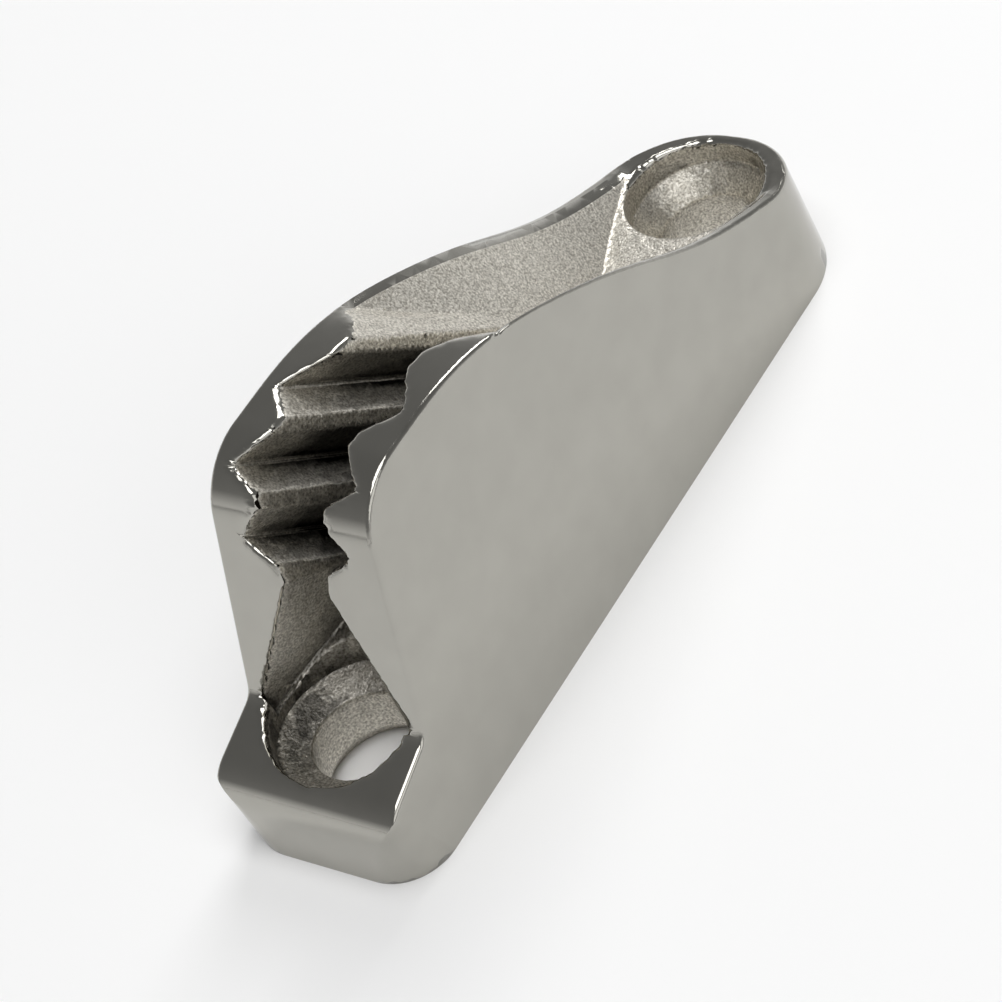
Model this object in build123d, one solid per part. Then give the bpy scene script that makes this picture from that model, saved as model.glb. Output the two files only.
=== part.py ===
from build123d import *
import math
import os

# Outside of the casting, measured from the front end, the centre plane and the base
length = 60.0
width = 15.1
height = 23.85
outer_draft = 3.2
front_corner_radius = 3.8
front_corner_foot_radius = 0.4
rear_flat_half_width = 0.55
outer_edge_radius = 0.35

# Front foot: a rounded step that carries the first screw
foot_height = 7.75
foot_length = 6.1
foot_slope = 18.0
foot_round = 2.7
notch_radius = 1.3

# Jaw outline: a leaning front, a round nose and a long back that runs down to the tail
jaw_lean = 17.9
nose_radius = 5.1
crown_flat = 0.4
tail_height = 7.75
back_top_share = 0.49408
back_top_drop = 0.06
back_brow_reach = 35.1
back_brow_drop = 0.9
back_middle_reach = 28.2
back_middle_drop = 3.7
back_slope_reach = 21.6
back_slope_rise = 8.7
back_foot_reach = 13.6
back_foot_rise = 3.8
back_tail_reach = 7.5
back_tail_rise = 1.3
back_tail_slope = 0.12

# How far a cutting solid runs on past the surface that it opens
overrun = 2.0

# Rope slot: a narrow V with a flat floor
slot_floor_height = 8.4
slot_floor_width = 0.8
slot_side_angle = 9.2

# Teeth: ridges on both sides of the slot that run down towards the tail
tooth_angle = 41.4
tooth_count = 4
tooth_pitch = 4.45
tooth_first = 13.4
tooth_land = 0.95
tooth_light_face = 1.65
tooth_depth = 2.0
tooth_root_radius = 0.25
first_tooth_flank = 1.1

# Flared exit behind the teeth: a wide V that follows the back, over a level shelf
flare_angle = 45.0
flare_half_width = 5.6
flare_bevel_width = 0.7
flare_bevel_drop = 0.4
flare_step_angle = 22.5
shelf_height = 8.2

# Pit in front of the teeth, cut along the direction of the teeth
pit_half_width = 5.8
pit_ridge_half_width = 1.35
pit_roof_angle = 27.0
pit_below_tooth = 0.6
pit_floor_height = 6.2
pit_floor_start = 8.4
pit_floor_angle = 23.0

# Screw holes
front_hole_inset = 7.3
rear_hole_inset = 6.3
bore_diameter = 7.1
front_recess_diameter = 11.0
front_seat_height = 5.4
front_seat_depth = 0.95
rear_seat_height = 6.2
rear_seat_depth = 1.95
rear_recess_diameter = 10.0
bore_relief_width = 0.7
bore_relief_height = 1.1


def draft_inset(level):
    """How far a drafted wall stands in from the base outline at a level."""
    return level * math.tan(math.radians(outer_draft))


def plan_block():
    """Plan of the casting drawn up with draft on every side, with square front corners."""
    plan = Rectangle(length, width, align=(Align.MIN, Align.CENTER))
    rear = plan.vertices().group_by(Axis.X)[-1]
    plan = fillet(rear, width / 2 - rear_flat_half_width)
    return extrude(plan, amount=height + foot_height, taper=outer_draft)


def front_corners():
    """What comes off the two front corners, more at the base than at the top of the foot."""
    waste = loft(
        [
            corner_waste(0, front_corner_radius),
            corner_waste(foot_height, front_corner_foot_radius),
        ],
        ruled=True,
    )
    return waste + mirror(waste, about=Plane.XZ)


def corner_waste(level, radius):
    """What a corner radius takes off the front corner on the -Y side, at one level of the block."""
    x = draft_inset(level)
    y = x - width / 2
    arc = CenterArc((x + radius, y + radius), radius, 180, 90)
    outline = arc + Polyline(
        (x + radius, y),
        (x + radius, y - radius),
        (x - radius, y - radius),
        (x - radius, y + radius),
        (x, y + radius),
    )
    return Pos(0, 0, level) * make_face(outline)


def jaw_front(level):
    """Where the leaning front of the jaws stands at a level."""
    return foot_length + (level - foot_height) * math.tan(math.radians(jaw_lean))


def crown():
    """Top of the nose, where its arc ends and the back begins."""
    nose_reach = nose_radius * math.tan(math.radians(90 - jaw_lean) / 2)
    return (jaw_front(height) + nose_reach + crown_flat, height)


def back_curve():
    """Upper edge of the jaws from the crown of the nose to the tail."""
    brow = length - back_brow_reach
    top = crown()[0] + back_top_share * (brow - crown()[0])
    points = [
        crown(),
        (top, height - back_top_drop),
        (brow, height - back_brow_drop),
        (length - back_middle_reach, height - back_middle_drop),
        (length - back_slope_reach, tail_height + back_slope_rise),
        (length - back_foot_reach, tail_height + back_foot_rise),
        (length - back_tail_reach, tail_height + back_tail_rise),
        (length, tail_height),
    ]
    return Plane.XZ * Spline(*points, tangents=[(1, 0), (1, -back_tail_slope)])


def side_outline():
    """Side view of foot and jaws as one closed face."""
    slope = math.tan(math.radians(foot_slope))
    brow = (foot_height - foot_length * slope) / (1 - slope * draft_inset(1))
    corners = [
        (draft_inset(brow), brow),
        (foot_length, foot_height),
        (jaw_front(height), height),
    ]
    under = -foot_height
    outline = Plane.XZ * FilletPolyline(
        (draft_inset(under), under),
        *corners,
        crown(),
        radius=(foot_round, notch_radius, nose_radius),
    )
    outline += back_curve()
    outline += Plane.XZ * Polyline(
        (length, tail_height),
        (length + tail_height, tail_height),
        (length + tail_height, under),
        (draft_inset(under), under),
    )
    return make_face(outline.edges())


def blank():
    """Casting before any groove or hole, with its outer upper edges rounded."""
    outline = side_outline().moved(Location((0, width, 0)))
    body = plan_block() & extrude(outline, amount=2 * width, dir=(0, -1, 0))
    rim = []
    for edge in body.edges():
        box = edge.bounding_box()
        runs_along = box.size.X > draft_inset(1)
        at_tail = box.min.X > length - draft_inset(height)
        if box.min.Z > outer_edge_radius and (runs_along or at_tail):
            rim.append(edge)
    return fillet(rim, outer_edge_radius) - front_corners()


def slot_side(height_above_floor):
    """Half width of the rope slot at a height above its floor."""
    return slot_floor_width / 2 + height_above_floor * math.tan(math.radians(slot_side_angle))


def rope_slot():
    """V prism along the casting, open at the top, front and tail."""
    rise = height - slot_floor_height + overrun
    section = Polyline(
        (-slot_side(rise), rise),
        (-slot_side(0), 0),
        (slot_side(0), 0),
        (slot_side(rise), rise),
        close=True,
    )
    start = Plane(origin=(0, 0, slot_floor_height), x_dir=(0, 1, 0), z_dir=(1, 0, 0))
    return extrude(start * make_face(section), amount=length)


def tooth_plane():
    """Plane square to the teeth on the +Y wall: its x runs up across them, its -y into the wall."""
    lean = math.radians(slot_side_angle)
    turn = math.radians(tooth_angle)
    up = Vector(0, math.sin(lean), math.cos(lean))
    along = Vector(1, 0, 0) * math.cos(turn) - up * math.sin(turn)
    across = Vector(1, 0, 0) * math.sin(turn) + up * math.cos(turn)
    origin = (0, slot_floor_width / 2, slot_floor_height)
    return Plane(origin=origin, x_dir=across, z_dir=along)


def tooth_valleys():
    """Valleys between the teeth on the +Y side, each a prism along the tooth direction."""
    plane = tooth_plane()
    valleys = Part()
    for i in range(tooth_count - 1):
        tip = tooth_first + i * tooth_pitch
        next_land = tip + tooth_pitch - tooth_land
        root = Polyline(
            (tip, tooth_depth),
            (tip, 0),
            (tip + tooth_light_face, -tooth_depth),
            (next_land, 0),
            (next_land, tooth_depth),
            close=True,
        )
        face = make_face(root)
        face = fillet(face.vertices().sort_by(Axis.Y)[0], tooth_root_radius)
        valleys += extrude(plane * face, amount=length, both=True)
    return valleys & above_floor(slot_floor_height)


def above_floor(floor_height):
    """Box on the +Y side above a level floor."""
    half_space = Box(length, width, height, align=(Align.MIN, Align.MIN, Align.MIN))
    return half_space.moved(Location((0, 0, floor_height)))


def flare():
    """Wide V behind the teeth on the +Y side, swept along the back above the level shelf."""
    path = back_curve()
    reach = flare_half_width / math.tan(math.radians(flare_angle))
    section = Polyline(
        (0, overrun),
        (0, -flare_bevel_drop - reach),
        (flare_half_width, -flare_bevel_drop),
        (flare_half_width + flare_bevel_width, 0),
        (flare_half_width + flare_bevel_width, overrun),
        close=True,
    )
    start = Plane(origin=path @ 0, x_dir=(0, 1, 0), z_dir=path % 0)
    swept = sweep(start * make_face(section), path=path)
    return swept & above_floor(shelf_height) & behind_teeth()


def behind_teeth():
    """Block on the tail side of the step where the first tooth rises out of the flare."""
    lean = math.radians(slot_side_angle)
    plane = tooth_plane()
    tip = tooth_first + (tooth_count - 1) * tooth_pitch
    flank = tooth_light_face * first_tooth_flank / tooth_depth
    corner = (tip + flank, -first_tooth_flank)
    step = math.radians(flare_step_angle)
    far = width
    outline = Polyline(
        (tip, 0),
        corner,
        (corner[0] + far * math.sin(step), -first_tooth_flank - far * math.cos(step)),
        (tip + 2 * length, -first_tooth_flank - far * math.cos(step)),
        (tip + 2 * length, far),
        (tip, far),
        close=True,
    )
    return extrude(plane * make_face(outline), amount=2 * length, both=True)


def pit_space():
    """Space above the pit's floor, which is level beside the screw and then rises to the rear."""
    far = length * math.tan(math.radians(pit_floor_angle))
    outline = Polyline(
        (foot_length, pit_floor_height),
        (pit_floor_start, pit_floor_height),
        (pit_floor_start + length, pit_floor_height + far),
        (foot_length, pit_floor_height + far),
        close=True,
    )
    return extrude(Plane.XZ * make_face(outline), amount=width, both=True)


def front_pit():
    """Gable-shaped pit in front of the teeth, cut along the tooth direction."""
    turn = math.radians(tooth_angle)
    along = (math.cos(turn), 0, -math.sin(turn))
    across = (math.sin(turn), 0, math.cos(turn))
    ridge = tooth_first - pit_below_tooth
    roof = math.tan(math.radians(pit_roof_angle))
    eave = ridge - (pit_half_width - pit_ridge_half_width) / roof
    outline = Polyline(
        (ridge, -pit_ridge_half_width),
        (ridge, pit_ridge_half_width),
        (eave, pit_half_width),
        (eave - length, pit_half_width),
        (eave - length, -pit_half_width),
        (eave, -pit_half_width),
        close=True,
    )
    plane = Plane(origin=(0, 0, slot_floor_height), x_dir=across, z_dir=along)
    return extrude(plane * make_face(outline), amount=length, both=True) & pit_space()


def screw_hole(inset, seat_height, seat_depth, recess_diameter, recess_top):
    """Bore, conical seat, straight recess above it and relief at the base, as one turned cutter."""
    bore = bore_diameter / 2
    recess = recess_diameter / 2
    outline = Polyline(
        (0, -overrun),
        (bore + bore_relief_width, -overrun),
        (bore + bore_relief_width, 0),
        (bore, bore_relief_height),
        (bore, seat_height - seat_depth),
        (recess, seat_height),
        (recess, recess_top),
        (0, recess_top),
        close=True,
    )
    cutter = revolve(Plane.XZ * make_face(outline), Axis.Z)
    return cutter.moved(Location((inset, 0, 0)))


def front_screw_hole():
    """First screw hole; behind the foot its recess ends at the floor of the pit."""
    hole = screw_hole(
        front_hole_inset,
        front_seat_height,
        front_seat_depth,
        front_recess_diameter,
        height,
    )
    return hole - pit_space()


def rear_screw_hole():
    """Second screw hole, with its recess open through the shelf and the tail."""
    return screw_hole(
        length - rear_hole_inset,
        rear_seat_height,
        rear_seat_depth,
        rear_recess_diameter,
        height,
    )


def cleat_body():
    """The whole casting, moved so that the origin is under the middle of the base."""
    half = tooth_valleys() + flare()
    body = blank() - rope_slot()
    body = body - half
    body = body - mirror(half, about=Plane.XZ)
    body = body - front_pit()
    body = body - front_screw_hole()
    body = body - rear_screw_hole()
    return body.moved(Location((-length / 2, 0, 0)))


os.makedirs("parts", exist_ok=True)
cleat = cleat_body()
print("solids", len(cleat.solids()), "faces", len(cleat.faces()), "valid", cleat.is_valid)
print("volume mm3", round(cleat.volume, 2))
print("size", cleat.bounding_box().size)
export_step(cleat, "parts/cleat_body.step")
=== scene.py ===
# %% [markdown]
# # A cast metal jam cleat
# A jam cleat holds a rope in a narrow slot between two toothed jaws. This one is a single metal
# casting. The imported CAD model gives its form, and this lesson gives that form its surface:
# mirror-polished metal outside and a grainy, as-cast skin in the slot.
# Every length here is in metres, in the frame of the CAD model.

import math

import bmesh
import bpy
import numpy as np
from mathutils import Matrix, Vector
from mathutils.bvhtree import BVHTree
from mathutils.kdtree import KDTree


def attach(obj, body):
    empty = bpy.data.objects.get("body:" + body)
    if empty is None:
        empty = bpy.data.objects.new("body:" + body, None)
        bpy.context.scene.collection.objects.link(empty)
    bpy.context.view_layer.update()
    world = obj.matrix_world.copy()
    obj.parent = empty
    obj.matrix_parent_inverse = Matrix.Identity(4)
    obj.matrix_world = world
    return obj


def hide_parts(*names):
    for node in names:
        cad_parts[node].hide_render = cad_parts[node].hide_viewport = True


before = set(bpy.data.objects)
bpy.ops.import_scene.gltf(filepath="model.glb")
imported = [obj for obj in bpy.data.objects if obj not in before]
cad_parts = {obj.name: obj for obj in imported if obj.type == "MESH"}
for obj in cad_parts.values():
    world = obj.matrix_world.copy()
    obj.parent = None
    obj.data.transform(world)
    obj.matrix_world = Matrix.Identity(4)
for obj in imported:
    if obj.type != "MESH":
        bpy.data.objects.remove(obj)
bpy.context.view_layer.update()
MM = 0.001

# %% [markdown]
# ## Small helpers
# A colour is written as an sRGB hex value, as a paint program shows it. Shaders work with linear
# light, so one function turns the one into the other. A second one adds a node to a tree, sets
# its inputs and links what feeds it, so that a material reads as a short list.


# %% Helpers for colours and nodes
def linear(hex_colour):
    """sRGB hex value as linear red, green, blue and alpha."""
    parts = [int(hex_colour[i : i + 2], 16) / 255 for i in (1, 3, 5)]
    return [c / 12.92 if c <= 0.04045 else ((c + 0.055) / 1.055) ** 2.4 for c in parts] + [1.0]


def add_node(tree, kind, inputs=None, **settings):
    """A new node: settings are its properties; inputs are values or the outputs that feed it."""
    node = tree.nodes.new(kind)
    for name, value in settings.items():
        setattr(node, name, value)
    for name, value in (inputs or {}).items():
        socket = node.inputs[name]
        if isinstance(value, bpy.types.NodeSocket):
            tree.links.new(value, socket)
        else:
            socket.default_value = value
    return node


print("white paper is linear", [round(c, 3) for c in linear("#F5F5F2")[:3]])

# %% [markdown]
# ## The camera
# The photograph looks down on the casting from the front, with the far end up and to the right.
# The place and the three axes of the camera were worked out from the corners, the two round holes
# and the slot, whose sizes are known. A long lens shows the small part with little perspective.

# %% Camera at the photograph's angle
camera_place = Vector((-0.108107, -0.126060, 0.148955))
camera_right = Vector((0.49547, -0.79774, -0.34368))
camera_up = Vector((0.72439, 0.16114, 0.67030))
camera_data = bpy.data.cameras.new("camera")
camera_data.sensor_width = 36.0
camera_data.lens = 120.07
camera_data.clip_start = 0.01
camera_data.clip_end = 10.0
camera = bpy.data.objects.new("camera", camera_data)
camera_back = camera_right.cross(camera_up)
camera_axes = Matrix((camera_right, camera_up, camera_back)).transposed()
camera.matrix_world = Matrix.Translation(camera_place) @ camera_axes.to_4x4()
bpy.context.scene.collection.objects.link(camera)
bpy.context.scene.camera = camera
bpy.context.scene.view_settings.view_transform = "Standard"
print("camera to part in mm:", round(camera_place.length / MM))

# %% [markdown]
# ## The studio
# Polished metal shows the room that it stands in, so the room is part of the look. A white floor
# lights the sides of the casting from below. The room above is pale at the horizon and darker
# overhead, which gives the metal its dark lines beside its bright ones.

# %% White paper floor
floor_mesh = bpy.data.meshes.new("floor")
floor_reach = 3.0
corners = [(-1, -1), (1, -1), (1, 1), (-1, 1)]
floor_mesh.from_pydata([(x * floor_reach, y * floor_reach, 0) for x, y in corners], [], [(0, 1, 2, 3)])
floor = bpy.data.objects.new("floor", floor_mesh)
paper = bpy.data.materials.new("white_paper")
paper.use_nodes = True
paper.node_tree.nodes.clear()
matt = add_node(paper.node_tree, "ShaderNodeBsdfDiffuse", {"Color": linear("#F8F8F8")})
add_node(paper.node_tree, "ShaderNodeOutputMaterial", {"Surface": matt.outputs[0]})
floor_mesh.materials.append(paper)
bpy.context.scene.collection.objects.link(floor)
print("floor side in m:", 2 * floor_reach)

# %% Room light
world = bpy.data.worlds.new("studio_room")
bpy.context.scene.world = world
world.use_nodes = True
tree = world.node_tree
tree.nodes.clear()
direction = add_node(tree, "ShaderNodeTexCoord")
parts = add_node(tree, "ShaderNodeSeparateXYZ", {"Vector": direction.outputs["Generated"]})
shades = add_node(tree, "ShaderNodeValToRGB", {"Fac": parts.outputs["Z"]})
horizon, overhead = shades.color_ramp.elements
horizon.position, horizon.color = 0.0, linear("#F4F4F4")
overhead.position, overhead.color = 0.95, linear("#747474")
shades.color_ramp.elements.new(0.3).color = linear("#8E8E8E")
room = add_node(tree, "ShaderNodeBackground", {"Color": shades.outputs["Color"], "Strength": 1.0})
add_node(tree, "ShaderNodeOutputWorld", {"Surface": room.outputs[0]})
print("room: pale at the horizon, grey overhead")


# %% Lamps
def soft_box(name, place, aim, width, height, watts):
    """A rectangular lamp at a place, turned towards the aim."""
    data = bpy.data.lights.new(name, "AREA")
    data.shape = "RECTANGLE"
    data.size = width
    data.size_y = height
    data.energy = watts
    lamp = bpy.data.objects.new(name, data)
    lamp.location = place
    lamp.rotation_mode = "QUATERNION"
    lamp.rotation_quaternion = (Vector(aim) - Vector(place)).to_track_quat("-Z", "Y")
    bpy.context.scene.collection.objects.link(lamp)
    return lamp


soft_box("overhead_softbox", (-0.05, -0.15, 0.8), (0, 0, 0.01), 0.6, 0.6, 3.9)
soft_box("side_softbox", (-0.25, -0.6, 0.4), (0, 0, 0.01), 0.7, 0.4, 1.0)
soft_box("rear_softbox", (0.5, 0.12, 0.45), (0, 0, 0.01), 0.3, 0.3, 1.6)
print("lamps:", [lamp.name for lamp in bpy.data.lights])

# %% [markdown]
# ## The metal
# The casting is stainless steel. A polishing wheel made its outside bright, with a faint waviness
# that bends reflections. The wheel can't reach into the slot, which keeps the skin that the mould
# gave it: a fine grain with tiny bright facets. Painted shade darkens the skin where it is most closed
# in.


# %% A steel that both finishes share
def steel_material(name):
    """An empty material with a metal shader joined to its output."""
    material = bpy.data.materials.new(name)
    material.use_nodes = True
    tree = material.node_tree
    tree.nodes.clear()
    shader = add_node(tree, "ShaderNodeBsdfPrincipled", {"Metallic": 1.0})
    add_node(tree, "ShaderNodeOutputMaterial", {"Surface": shader.outputs[0]})
    place = add_node(tree, "ShaderNodeTexCoord").outputs["Object"]
    return material, tree, shader, place


# %% Polished cast steel
# Real stainless steel that was buffed after casting: nearly a mirror, warm grey, slightly wavy.
polished, tree, shader, place = steel_material("polished_cast_steel")
wave_width = 2.5 * MM
wave = add_node(tree, "ShaderNodeTexNoise", {"Vector": place, "Scale": 1 / wave_width, "Detail": 2.0})
haze_width = 0.9 * MM
haze = add_node(tree, "ShaderNodeTexNoise", {"Vector": place, "Scale": 1 / haze_width, "Detail": 4.0})
gloss = add_node(
    tree,
    "ShaderNodeMapRange",
    {"Value": haze.outputs["Fac"], "From Min": 0.3, "From Max": 0.7, "To Min": 0.09, "To Max": 0.15},
)
tone = add_node(tree, "ShaderNodeValToRGB", {"Fac": wave.outputs["Fac"]})
darker, lighter = tone.color_ramp.elements
darker.position, darker.color = 0.3, linear("#A8A69F")
lighter.position, lighter.color = 0.7, linear("#ACAAA3")
dents = add_node(
    tree, "ShaderNodeBump", {"Height": wave.outputs["Fac"], "Strength": 0.05, "Distance": 0.03 * MM}
)
tree.links.new(tone.outputs["Color"], shader.inputs["Base Color"])
tree.links.new(gloss.outputs["Result"], shader.inputs["Roughness"])
tree.links.new(dents.outputs["Normal"], shader.inputs["Normal"])
print("polished steel: roughness 0.09 to 0.15, waves of", wave_width / MM, "mm")

# %% Steel with its skin as cast
# The skin of an investment casting after blasting: matt grains about a tenth of a millimetre wide.
# Open places are bright; by the attribute "openness" the colour is darkened with painted shade where
# the skin is closed in.
as_cast, tree, shader, place = steel_material("as_cast_steel_skin")
grain_width = 0.16 * MM
grain = add_node(tree, "ShaderNodeTexNoise", {"Vector": place, "Scale": 1 / grain_width, "Detail": 5.0})
facets = add_node(tree, "ShaderNodeTexVoronoi", {"Vector": place, "Scale": 1 / grain_width})
openness = add_node(tree, "ShaderNodeAttribute", attribute_name="openness")
skin = add_node(tree, "ShaderNodeValToRGB", {"Fac": grain.outputs["Fac"]})
darker, lighter = skin.color_ramp.elements
darker.position, darker.color = 0.35, linear("#A8A399")
lighter.position, lighter.color = 0.65, linear("#F2EEE4")
# Painted shade: the colour of the skin goes nearly black as the openness falls, standing in for the
# shade in the slot.
painted_shade_ramp = add_node(tree, "ShaderNodeValToRGB", {"Fac": openness.outputs["Fac"]})
painted_shade_dark, painted_shade_clear = painted_shade_ramp.color_ramp.elements
painted_shade_dark.position, painted_shade_dark.color = 0.08, linear("#15120F")
painted_shade_clear.position, painted_shade_clear.color = 0.36, linear("#FFFFFF")
skin_with_painted_shade = add_node(tree, "ShaderNodeMix", data_type="RGBA", blend_type="MULTIPLY")
skin_with_painted_shade.inputs[0].default_value = 1.0
tree.links.new(skin.outputs["Color"], skin_with_painted_shade.inputs[6])
tree.links.new(painted_shade_ramp.outputs["Color"], skin_with_painted_shade.inputs[7])
matt_range = add_node(
    tree,
    "ShaderNodeMapRange",
    {"Value": facets.outputs["Distance"], "From Max": 0.8, "To Min": 0.24, "To Max": 0.5},
)
bumps = add_node(
    tree, "ShaderNodeBump", {"Height": grain.outputs["Fac"], "Strength": 0.7, "Distance": 0.05 * MM}
)
tree.links.new(skin_with_painted_shade.outputs[2], shader.inputs["Base Color"])
tree.links.new(matt_range.outputs["Result"], shader.inputs["Roughness"])
tree.links.new(bumps.outputs["Normal"], shader.inputs["Normal"])
print("as-cast skin: grains of", grain_width / MM, "mm")

# %% [markdown]
# ## The casting
# The CAD mesh is loose triangles. A copy of it is merged, so that its faces share their corners
# and can be shaded smoothly. A face belongs to the polished outside when a straight line from it,
# going out sideways, leaves the casting freely: that is what a polishing wheel can reach. On a
# nearly level face the line starts a little higher, because the wheel is soft. The narrow tops of
# the walls beside the flared exit are polished too.

# %% Merge a copy of the CAD mesh and find what was polished
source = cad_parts["cleat_body"]
casting_mesh = source.data.copy()
casting_mesh.materials.clear()
casting_mesh.materials.append(polished)
casting_mesh.materials.append(as_cast)
grid = bmesh.new()
grid.from_mesh(casting_mesh)
same_point = 0.0005 * MM
bmesh.ops.remove_doubles(grid, verts=grid.verts, dist=same_point)
whole = BVHTree.FromBMesh(grid)
lift = 0.05 * MM
wheel_lift = 0.45 * MM
nearly_level = 0.75
rim_start = 5.55 * MM
rim_foot = 8.25 * MM
rim_level = 0.7
for face in grid.faces:
    centre = face.calc_center_median()
    side = Vector((0, math.copysign(1, centre.y), 0))
    start = centre + face.normal * lift
    if face.normal.z > nearly_level:
        start.z += wheel_lift
    reached = whole.ray_cast(start, side)[0] is None
    on_rim = abs(centre.y) > rim_start and centre.z > rim_foot and face.normal.z > rim_level
    face.material_index = 0 if reached or on_rim else 1
    face.smooth = True
print("faces:", len(grid.faces), "as cast:", sum(face.material_index for face in grid.faces))

# %% [markdown]
# ## A finer mesh for the grain
# The grain is real relief, so the as-cast faces need points a fraction of a millimetre apart. Flat
# triangles are joined first. Then the skin is sliced by planes along each axis, like a loaf of
# bread, which gives small even faces. The polished tops of jaws and foot are sliced as well, for
# the soft edges that come next. The flat sides stay as the CAD gives them.


# %% Slice the as-cast faces and the tops
most_sideways = 0.2
most_downward = -0.3
cut_tolerance = 0.00001 * MM


def is_rolled(face):
    """True for a polished face on the tops of jaws and foot, which the side outline gives."""
    looks_up = abs(face.normal.y) < most_sideways and face.normal.z > most_downward
    return face.material_index == 0 and looks_up


def slice_skin(axis, spacing):
    """Cut the as-cast and the rolled faces by planes square to an axis, one spacing apart."""
    square = Vector((0, 0, 0))
    square[axis] = 1.0
    grid.normal_update()
    waiting = [face for face in grid.faces if face.material_index or is_rolled(face)]
    place = math.floor(min(v.co[axis] for face in waiting for v in face.verts) / spacing) * spacing
    while waiting:
        place += spacing
        crossed, beyond = [], []
        for face in waiting:
            values = [point.co[axis] for point in face.verts]
            if min(values) > place:
                beyond.append(face)
            elif max(values) > place:
                crossed.append(face)
        if crossed:
            edges = dict.fromkeys(edge for face in crossed for edge in face.edges)
            points = dict.fromkeys(point for face in crossed for point in face.verts)
            cut = bmesh.ops.bisect_plane(
                grid,
                geom=list(points) + list(edges) + crossed,
                dist=cut_tolerance,
                plane_co=square * place,
                plane_no=square,
            )
            beyond += [part for part in cut["geom"] if isinstance(part, bmesh.types.BMFace)]
        waiting = beyond


inner_edges = [edge for edge in grid.edges if all(face.material_index for face in edge.link_faces)]
flat_angle = math.radians(0.3)
bmesh.ops.dissolve_limit(grid, angle_limit=flat_angle, edges=inner_edges, verts=[])
slice_spacing = 0.32 * MM
for axis in range(3):
    slice_skin(axis, slice_spacing)
bmesh.ops.triangulate(grid, faces=[face for face in grid.faces if len(face.verts) > 3])
for face in grid.faces:
    face.smooth = True
print("faces after slicing:", len(grid.faces))

# %% [markdown]
# ## Soft edges along the slot
# On the real casting the polishing wheel rolled over the upper edges of the slot and of the teeth,
# so they are round and bright. Points near such an edge move towards the mean of their neighbours,
# most at the edge itself, and the narrow band beside it turns from skin to polish.

# %% Round the upper edges of the slot
edge_angle = math.radians(25)
lowest_soft = 4.0 * MM
edge_points = dict.fromkeys(
    point
    for edge in grid.edges
    if len(edge.link_faces) == 2
    and edge.link_faces[0].material_index != edge.link_faces[1].material_index
    and edge.calc_face_angle(0.0) > edge_angle
    for point in edge.verts
    if point.co.z > lowest_soft
)
near_edge = KDTree(len(edge_points))
for i, point in enumerate(sorted(edge_points, key=lambda p: tuple(p.co))):
    near_edge.insert(point.co, i)
near_edge.balance()
soft_reach = 0.7 * MM
polish_reach = 0.34 * MM
smoothing_rounds = 10
smoothing_step = 0.6
soft_layer = grid.verts.layers.float.new("softness")
for point in grid.verts:
    distance = near_edge.find(point.co)[2]
    if distance < soft_reach and not point.is_boundary:
        point[soft_layer] = 1.0 - distance / soft_reach
for face in grid.faces:
    if face.material_index and all(near_edge.find(point.co)[2] < polish_reach for point in face.verts):
        face.material_index = 0
soft_points = [point for point in grid.verts if point[soft_layer] > 0]
for round_number in range(smoothing_rounds):
    means = []
    for point in soft_points:
        others = [edge.other_vert(point).co for edge in point.link_edges]
        means.append(sum(others, Vector()) / len(others))
    for point, mean in zip(soft_points, means):
        point.co = point.co.lerp(mean, smoothing_step * point[soft_layer])
print("edge points:", len(edge_points), "softened:", len(soft_points))

# %% [markdown]
# ## How open each point is
# From every point of the skin a fan of rays goes out. The share that leaves the casting says how
# open the point is: 1 on a ridge, near 0 at the bottom of a valley. The material paints shade by it.
# A second value fades the relief out at the border of the polished metal.

# %% Openness and relief at each point
ray_count = 16
golden_turn = math.pi * (3 - math.sqrt(5))
fan = []
for i in range(ray_count):
    z = 1 - (i + 0.5) / ray_count
    ring = math.sqrt(1 - z * z)
    fan.append(Vector((ring * math.cos(i * golden_turn), ring * math.sin(i * golden_turn), z)))
# The openness drives the painted shade of the as-cast skin.
open_layer = grid.verts.layers.float.new("openness")
relief_layer = grid.verts.layers.float.new("relief")
grid.normal_update()
for point in grid.verts:
    point[open_layer] = 1.0
    if not any(face.material_index for face in point.link_faces):
        continue
    point[relief_layer] = 1.0 if all(face.material_index for face in point.link_faces) else 0.0
    upright = Vector((0, 0, 1)).rotation_difference(point.normal)
    start = point.co + point.normal * lift
    free = sum(whole.ray_cast(start, upright @ ray)[0] is None for ray in fan)
    point[open_layer] = free / ray_count
grid.to_mesh(casting_mesh)
grid.free()
print("points:", len(casting_mesh.vertices))

# %% The casting as an object, with its sharp edges marked
sharp_angle = math.radians(38)
casting = bpy.data.objects.new("cleat_casting", casting_mesh)
bpy.context.scene.collection.objects.link(casting)
casting_mesh.set_sharp_from_angle(angle=sharp_angle)
soft = [value.value for value in casting_mesh.attributes["softness"].data]
for edge in casting_mesh.edges:
    if all(soft[index] > 0 for index in edge.vertices):
        edge.use_edge_sharp = False
print("sharp edges:", sum(edge.use_edge_sharp for edge in casting_mesh.edges))

# %% [markdown]
# ## Relief of the cast skin
# A small node tree moves the points of the skin in and out along their normals. Its inputs are the
# width and the height of the grains in metres.


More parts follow.
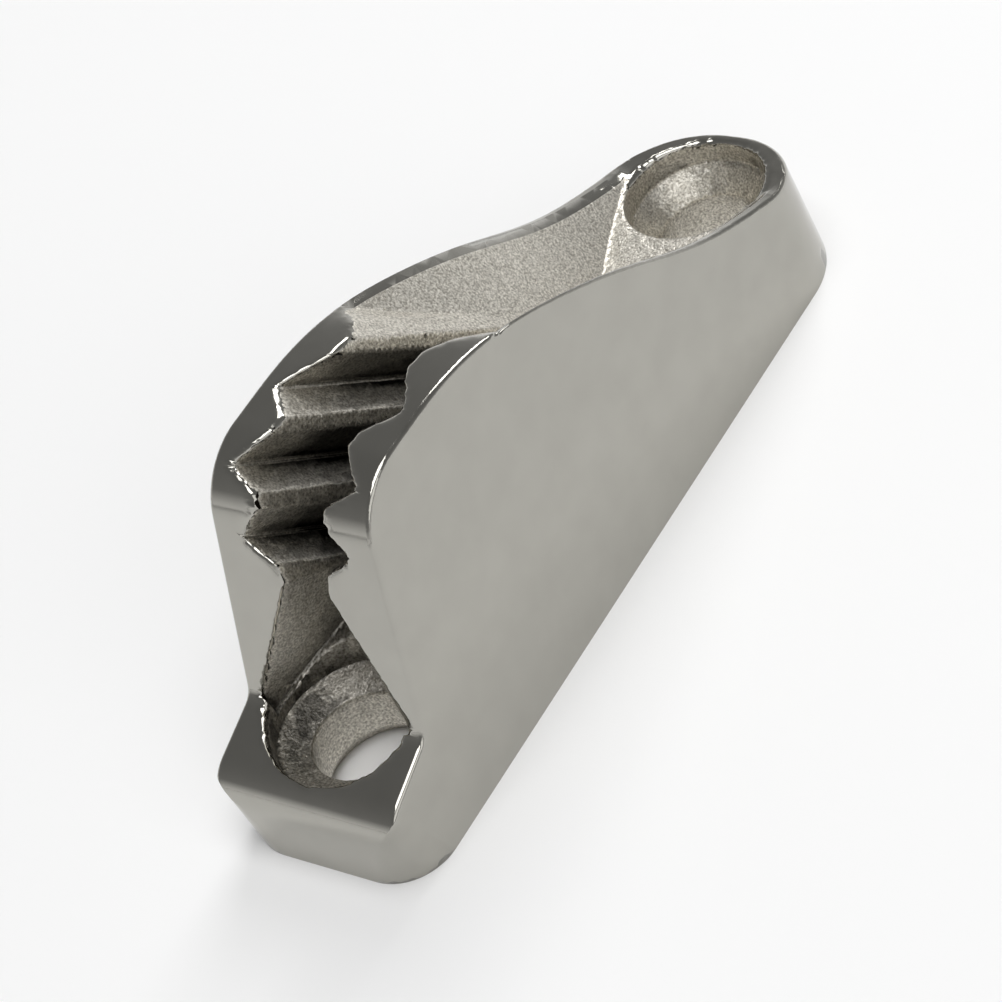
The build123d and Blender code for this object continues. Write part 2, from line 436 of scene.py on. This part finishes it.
# %% Cast grain as a node tree
grain_tree = bpy.data.node_groups.new("cast_grain", "GeometryNodeTree")
face_in = grain_tree.interface
face_in.new_socket("Geometry", in_out="INPUT", socket_type="NodeSocketGeometry")
width_in = face_in.new_socket("Grain width", in_out="INPUT", socket_type="NodeSocketFloat")
height_in = face_in.new_socket("Grain height", in_out="INPUT", socket_type="NodeSocketFloat")
seed_in = face_in.new_socket("Seed", in_out="INPUT", socket_type="NodeSocketFloat")
face_in.new_socket("Geometry", in_out="OUTPUT", socket_type="NodeSocketGeometry")
given = add_node(grain_tree, "NodeGroupInput")
rate = add_node(grain_tree, "ShaderNodeMath", operation="DIVIDE")
rate.inputs[0].default_value = 1.0
grain_tree.links.new(given.outputs["Grain width"], rate.inputs[1])
position = add_node(grain_tree, "GeometryNodeInputPosition")
lumps = add_node(grain_tree, "ShaderNodeTexNoise", {"Detail": 2.0}, noise_dimensions="4D")
grain_tree.links.new(position.outputs[0], lumps.inputs["Vector"])
grain_tree.links.new(given.outputs["Seed"], lumps.inputs["W"])
grain_tree.links.new(rate.outputs[0], lumps.inputs["Scale"])
about_zero = add_node(grain_tree, "ShaderNodeMath", operation="SUBTRACT")
grain_tree.links.new(lumps.outputs["Fac"], about_zero.inputs[0])
about_zero.inputs[1].default_value = 0.5
tall = add_node(grain_tree, "ShaderNodeMath", operation="MULTIPLY")
grain_tree.links.new(about_zero.outputs[0], tall.inputs[0])
grain_tree.links.new(given.outputs["Grain height"], tall.inputs[1])
relief = add_node(grain_tree, "GeometryNodeInputNamedAttribute", data_type="FLOAT")
relief.inputs["Name"].default_value = "relief"
masked = add_node(grain_tree, "ShaderNodeMath", operation="MULTIPLY")
grain_tree.links.new(tall.outputs[0], masked.inputs[0])
grain_tree.links.new(relief.outputs["Attribute"], masked.inputs[1])
normal = add_node(grain_tree, "GeometryNodeInputNormal")
shift = add_node(grain_tree, "ShaderNodeVectorMath", operation="SCALE")
grain_tree.links.new(normal.outputs[0], shift.inputs[0])
grain_tree.links.new(masked.outputs[0], shift.inputs["Scale"])
moved = add_node(grain_tree, "GeometryNodeSetPosition", {"Geometry": given.outputs["Geometry"]})
grain_tree.links.new(shift.outputs[0], moved.inputs["Offset"])
real = add_node(grain_tree, "GeometryNodeRealizeInstances", {"Geometry": moved.outputs[0]})
index = add_node(grain_tree, "GeometryNodeInputMaterialIndex")
is_skin = add_node(grain_tree, "FunctionNodeCompare", data_type="INT", operation="EQUAL")
grain_tree.links.new(index.outputs[0], is_skin.inputs[2])
is_skin.inputs[3].default_value = 1
finish = add_node(
    grain_tree,
    "GeometryNodeSetMaterial",
    {"Geometry": real.outputs[0], "Selection": is_skin.outputs[0], "Material": as_cast},
)
add_node(grain_tree, "NodeGroupOutput", {"Geometry": finish.outputs[0]})
print("node tree:", grain_tree.name, "with", len(grain_tree.nodes), "nodes")

# %% Bake the relief into the mesh
relief_modifier = casting.modifiers.new("cast_grain", "NODES")
relief_modifier.node_group = grain_tree
relief_width = 0.5 * MM
relief_height = 0.16 * MM
relief_seed = 3.0
relief_modifier[width_in.identifier] = relief_width
relief_modifier[height_in.identifier] = relief_height
relief_modifier[seed_in.identifier] = relief_seed
even = casting.modifiers.new("even_shading", "WEIGHTED_NORMAL")
even.keep_sharp = True
even.weight = 50
bpy.context.view_layer.update()
shaped = casting.evaluated_get(bpy.context.evaluated_depsgraph_get())
baked = bpy.data.meshes.new_from_object(shaped)
casting.modifiers.clear()
casting.data = baked
print("baked:", len(baked.polygons), "faces,", [m.name for m in baked.materials])

# %% [markdown]
# ## True normals on the rolled surfaces
# The tops of the jaws and the foot are one side outline pushed across the width. The CAD mesh has
# only long thin triangles there, whose averaged normals show as creases in a mirror. The outline
# itself gives the true normal: a smooth curve is fitted through the nearest points of the side
# view, and its slope is the slope of the surface.

# %% Normals from the side outline
across_limit = 0.02
tail_wall = 29.0 * MM
faces_tail = 0.9
rolled = [
    face
    for face in baked.polygons
    if face.material_index == 0
    and abs(face.normal.y) < across_limit
    and face.normal.z > most_downward
    and not (face.center.x > tail_wall and face.normal.x > faces_tail)
]
softness = baked.attributes["softness"].data
rolled_points = sorted({i for face in rolled for i in face.vertices if softness[i].value == 0})
places = [baked.vertices[index].co for index in rolled_points]
outline = np.array(sorted({(round(p.x / MM, 2), round(p.z / MM, 2)) for p in places})) * MM
facing = {}
for face in rolled:
    for index in face.vertices:
        facing[index] = facing.get(index, Vector()) + face.normal * face.area
reach = 0.9 * MM
fewest_points = 4
shortest_run = 0.4 * reach
true_normal = {}
for index in rolled_points:
    point = baked.vertices[index].co
    guess = facing[index].normalized()
    along = np.array([guess.z, -guess.x])
    out = np.array([guess.x, guess.z])
    offset = outline - np.array([point.x, point.z])
    near = offset[np.hypot(offset[:, 0], offset[:, 1]) < reach]
    run, rise = near @ along, near @ out
    if len(near) < fewest_points or np.ptp(run) < shortest_run:
        continue
    slope = np.polyfit(run, rise, 2)[1]
    normal = out - slope * along
    true_normal[index] = Vector((normal[0], 0, normal[1])).normalized()
corner_normals = [corner.vector.copy() for corner in baked.corner_normals]
close_to = math.cos(math.radians(35))
changed = 0
for face in baked.polygons:
    if face.material_index:
        continue
    for corner, index in zip(face.loop_indices, face.vertices):
        normal = true_normal.get(index)
        if normal and face.normal.dot(normal) > close_to:
            corner_normals[corner] = normal
            changed += 1
baked.normals_split_custom_set(corner_normals)
print("outline points:", len(outline), "corner normals set:", changed)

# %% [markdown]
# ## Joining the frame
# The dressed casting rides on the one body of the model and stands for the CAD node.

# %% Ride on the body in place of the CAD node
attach(casting, "root")
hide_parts("cleat_body")
bpy.context.view_layer.update()
